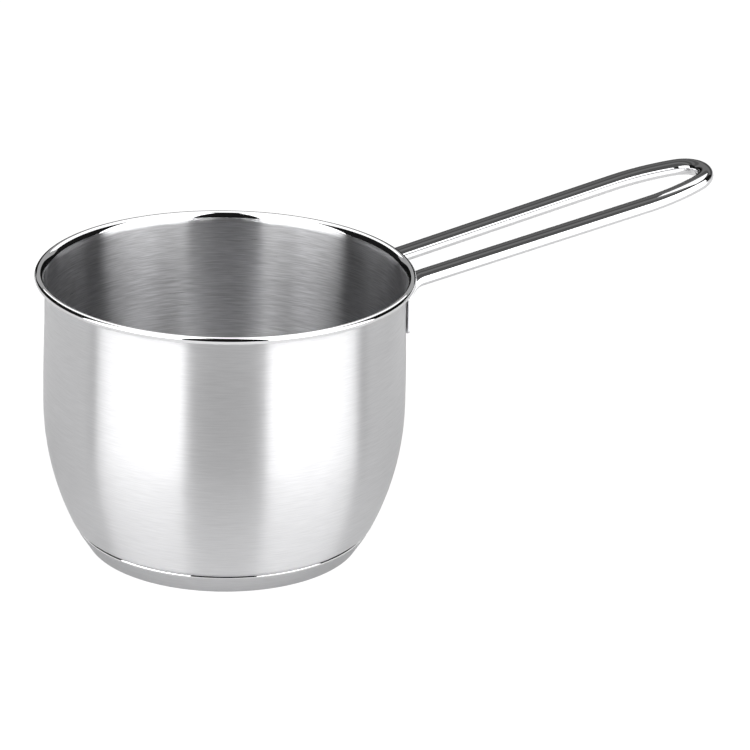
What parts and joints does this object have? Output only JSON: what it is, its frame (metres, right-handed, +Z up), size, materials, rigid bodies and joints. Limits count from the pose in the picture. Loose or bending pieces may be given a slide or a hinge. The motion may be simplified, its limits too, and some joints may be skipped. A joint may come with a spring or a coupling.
{
  "type": "saucepan",
  "caption": "Small stainless steel saucepan with a bellied body, rolled rim, sandwich base and a rising wire-loop handle.",
  "frame": {"origin": "centre of the flat foot, on the surface that the pan stands on", "axes": "+Z up along the pan's axis, +X along the handle away from the pan"},
  "size_m": [0.2828, 0.146, 0.1314],
  "materials": {
    "satin_steel": "satin, brushed round the pan, with a polished rim",
    "cap_steel": "satin, brushed round the pan",
    "core_aluminium": "plain, sealed in the base",
    "polished_steel": "mirror polished",
    "weld_steel": "dull weld metal"
  },
  "bodies": {
    "root": {"pan_body": "satin_steel", "base_cap": "cap_steel", "base_core": "core_aluminium", "handle": "polished_steel", "weld_left_lower": "weld_steel", "weld_left_upper": "weld_steel", "weld_right_lower": "weld_steel", "weld_right_upper": "weld_steel"}
  },
  "joints": []
}
